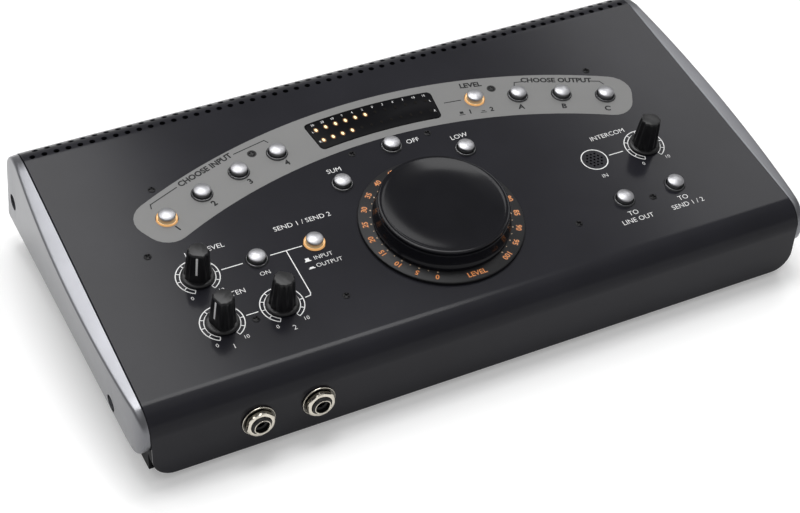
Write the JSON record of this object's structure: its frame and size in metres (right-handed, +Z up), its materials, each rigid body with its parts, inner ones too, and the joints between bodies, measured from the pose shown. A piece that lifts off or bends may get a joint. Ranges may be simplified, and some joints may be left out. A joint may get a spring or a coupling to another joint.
{
  "type": "studio monitor controller",
  "caption": "Desktop wedge that sets loudspeaker and headphone level, with a large level knob, small dials, push buttons, a level meter and headphone sockets.",
  "frame": {"origin": "on the floor under the middle of the object's box", "axes": "+X to the right and along the width, +Y to the rear, +Z up"},
  "size_m": [0.3358, 0.1851, 0.0629],
  "materials": {
    "base_tray": "dark satin paint",
    "centre_light_guide": "clear moulding",
    "connector_board": "green solder mask",
    "control_board": "green solder mask",
    "dim_button": "polished",
    "front_left_foot": "black",
    "front_right_foot": "black",
    "headphone_nut_1": "nickel plate",
    "headphone_nut_2": "nickel plate",
    "headphone_socket_1": "nickel plate",
    "headphone_socket_2": "nickel plate",
    "headphone_washer_1": "nickel plate",
    "headphone_washer_2": "nickel plate",
    "left_cheek": "satin silver",
    "left_front_screw": "plated",
    "left_light_guide": "clear moulding",
    "left_rear_screw": "plated",
    "level_control": "plated",
    "level_knob": "satin black",
    "level_shaft": "turned",
    "meter_button": "polished",
    "meter_lamps": "amber lenses in a dark block",
    "meter_window": "smoked gloss",
    "microphone": "plain",
    "monitor_a_button": "polished",
    "monitor_b_button": "polished",
    "monitor_c_button": "polished",
    "monitor_light_guide": "clear moulding",
    "mono_button": "polished",
    "mute_button": "polished",
    "phones_1_knob": "soft black",
    "phones_1_shaft": "turned",
    "phones_2_knob": "soft black",
    "phones_2_shaft": "turned",
    "phones_source_button": "polished",
    "power_rocker": "black moulding",
    "power_socket": "black moulding",
    "power_switch_frame": "black moulding",
    "rear_left_foot": "black",
    "rear_right_foot": "black",
    "rear_sockets": "black moulding",
    "ribbon_cable": "grey ribbon",
    "right_cheek": "satin silver",
    "right_front_screw": "plated",
    "right_light_guide": "clear moulding",
    "right_rear_screw": "plated",
    "scale_ring": "satin black with a printed scale",
    "source_1_button": "polished",
    "source_2_button": "polished",
    "source_3_button": "polished",
    "source_4_button": "polished",
    "source_light_guide": "clear moulding",
    "studio_knob": "soft black",
    "studio_on_button": "polished",
    "studio_shaft": "turned",
    "talk_line_button": "polished",
    "talk_phones_button": "polished",
    "talkback_knob": "soft black",
    "talkback_shaft": "turned",
    "top_cover": "satin charcoal paint"
  },
  "bodies": {
    "case": {"base_tray": "base_tray", "centre_light_guide": "centre_light_guide", "connector_board": "connector_board", "control_board": "control_board", "front_left_foot": "front_left_foot", "front_right_foot": "front_right_foot", "headphone_nut_1": "headphone_nut_1", "headphone_nut_2": "headphone_nut_2", "headphone_socket_1": "headphone_socket_1", "headphone_socket_2": "headphone_socket_2", "headphone_washer_1": "headphone_washer_1", "headphone_washer_2": "headphone_washer_2", "left_cheek": "left_cheek", "left_front_screw": "left_front_screw", "left_light_guide": "left_light_guide", "left_rear_screw": "left_rear_screw", "level_control": "level_control", "meter_lamps": "meter_lamps", "meter_window": "meter_window", "microphone": "microphone", "monitor_light_guide": "monitor_light_guide", "power_socket": "power_socket", "power_switch_frame": "power_switch_frame", "rear_left_foot": "rear_left_foot", "rear_right_foot": "rear_right_foot", "rear_sockets": "rear_sockets", "ribbon_cable": "ribbon_cable", "right_cheek": "right_cheek", "right_front_screw": "right_front_screw", "right_light_guide": "right_light_guide", "right_rear_screw": "right_rear_screw", "scale_ring": "scale_ring", "source_light_guide": "source_light_guide", "top_cover": "top_cover"},
    "source_1_button": {"source_1_button": "source_1_button"},
    "source_2_button": {"source_2_button": "source_2_button"},
    "source_3_button": {"source_3_button": "source_3_button"},
    "source_4_button": {"source_4_button": "source_4_button"},
    "meter_button": {"meter_button": "meter_button"},
    "monitor_a_button": {"monitor_a_button": "monitor_a_button"},
    "monitor_b_button": {"monitor_b_button": "monitor_b_button"},
    "monitor_c_button": {"monitor_c_button": "monitor_c_button"},
    "mono_button": {"mono_button": "mono_button"},
    "mute_button": {"mute_button": "mute_button"},
    "dim_button": {"dim_button": "dim_button"},
    "phones_source_button": {"phones_source_button": "phones_source_button"},
    "studio_on_button": {"studio_on_button": "studio_on_button"},
    "talk_line_button": {"talk_line_button": "talk_line_button"},
    "talk_phones_button": {"talk_phones_button": "talk_phones_button"},
    "level_knob": {"level_knob": "level_knob", "level_shaft": "level_shaft"},
    "studio_knob": {"studio_knob": "studio_knob", "studio_shaft": "studio_shaft"},
    "phones_1_knob": {"phones_1_knob": "phones_1_knob", "phones_1_shaft": "phones_1_shaft"},
    "phones_2_knob": {"phones_2_knob": "phones_2_knob", "phones_2_shaft": "phones_2_shaft"},
    "talkback_knob": {"talkback_knob": "talkback_knob", "talkback_shaft": "talkback_shaft"},
    "power_rocker": {"power_rocker": "power_rocker"}
  },
  "joints": [
    {"name": "source_1_button_press", "type": "slide", "parent": "case", "child": "source_1_button", "axis": [0, 0.1374, -0.9905], "range_m": [0, 0.002], "stiffness_N_per_m": 350, "springref_m": -0.001},
    {"name": "source_2_button_press", "type": "slide", "parent": "case", "child": "source_2_button", "axis": [0, 0.1374, -0.9905], "range_m": [0, 0.002], "stiffness_N_per_m": 350, "springref_m": -0.001},
    {"name": "source_3_button_press", "type": "slide", "parent": "case", "child": "source_3_button", "axis": [0, 0.1374, -0.9905], "range_m": [0, 0.002], "stiffness_N_per_m": 350, "springref_m": -0.001},
    {"name": "source_4_button_press", "type": "slide", "parent": "case", "child": "source_4_button", "axis": [0, 0.1374, -0.9905], "range_m": [0, 0.002], "stiffness_N_per_m": 350, "springref_m": -0.001},
    {"name": "meter_button_press", "type": "slide", "parent": "case", "child": "meter_button", "axis": [0, 0.1374, -0.9905], "range_m": [0, 0.002], "stiffness_N_per_m": 350, "springref_m": -0.001},
    {"name": "monitor_a_button_press", "type": "slide", "parent": "case", "child": "monitor_a_button", "axis": [0, 0.1374, -0.9905], "range_m": [0, 0.002], "stiffness_N_per_m": 350, "springref_m": -0.001},
    {"name": "monitor_b_button_press", "type": "slide", "parent": "case", "child": "monitor_b_button", "axis": [0, 0.1374, -0.9905], "range_m": [0, 0.002], "stiffness_N_per_m": 350, "springref_m": -0.001},
    {"name": "monitor_c_button_press", "type": "slide", "parent": "case", "child": "monitor_c_button", "axis": [0, 0.1374, -0.9905], "range_m": [0, 0.002], "stiffness_N_per_m": 350, "springref_m": -0.001},
    {"name": "mono_button_press", "type": "slide", "parent": "case", "child": "mono_button", "axis": [0, 0.1374, -0.9905], "range_m": [0, 0.002], "stiffness_N_per_m": 350, "springref_m": -0.001},
    {"name": "mute_button_press", "type": "slide", "parent": "case", "child": "mute_button", "axis": [0, 0.1374, -0.9905], "range_m": [0, 0.002], "stiffness_N_per_m": 350, "springref_m": -0.001},
    {"name": "dim_button_press", "type": "slide", "parent": "case", "child": "dim_button", "axis": [0, 0.1374, -0.9905], "range_m": [0, 0.002], "stiffness_N_per_m": 350, "springref_m": -0.001},
    {"name": "phones_source_button_press", "type": "slide", "parent": "case", "child": "phones_source_button", "axis": [0, 0.1374, -0.9905], "range_m": [0, 0.002], "stiffness_N_per_m": 350, "springref_m": -0.001},
    {"name": "studio_on_button_press", "type": "slide", "parent": "case", "child": "studio_on_button", "axis": [0, 0.1374, -0.9905], "range_m": [0, 0.002], "stiffness_N_per_m": 350, "springref_m": -0.001},
    {"name": "talk_line_button_press", "type": "slide", "parent": "case", "child": "talk_line_button", "axis": [0, 0.1374, -0.9905], "range_m": [0, 0.002], "stiffness_N_per_m": 350, "springref_m": -0.001},
    {"name": "talk_phones_button_press", "type": "slide", "parent": "case", "child": "talk_phones_button", "axis": [0, 0.1374, -0.9905], "range_m": [0, 0.002], "stiffness_N_per_m": 350, "springref_m": -0.001},
    {"name": "level_turn", "type": "hinge", "parent": "case", "child": "level_knob", "pos_m": [0, -0.0317, 0.0441], "axis": [0, 0.1374, -0.9905], "range_deg": [-150, 150]},
    {"name": "studio_turn", "type": "hinge", "parent": "case", "child": "studio_knob", "pos_m": [-0.1134, -0.02268, 0.04535], "axis": [0, 0.1374, -0.9905], "range_deg": [0, 300]},
    {"name": "phones_1_turn", "type": "hinge", "parent": "case", "child": "phones_1_knob", "pos_m": [-0.1134, -0.04992, 0.04157], "axis": [0, 0.1374, -0.9905], "range_deg": [-44, 256]},
    {"name": "phones_2_turn", "type": "hinge", "parent": "case", "child": "phones_2_knob", "pos_m": [-0.0859, -0.04992, 0.04157], "axis": [0, 0.1374, -0.9905], "range_deg": [-185, 115]},
    {"name": "talkback_turn", "type": "hinge", "parent": "case", "child": "talkback_knob", "pos_m": [0.1134, -0.02268, 0.04535], "axis": [0, 0.1374, -0.9905], "range_deg": [-170, 130]},
    {"name": "power_rock", "type": "hinge", "parent": "case", "child": "power_rocker", "pos_m": [-0.137, 0.08028, 0.021], "axis": [1, 0, 0], "range_deg": [-18, 0]}
  ]
}
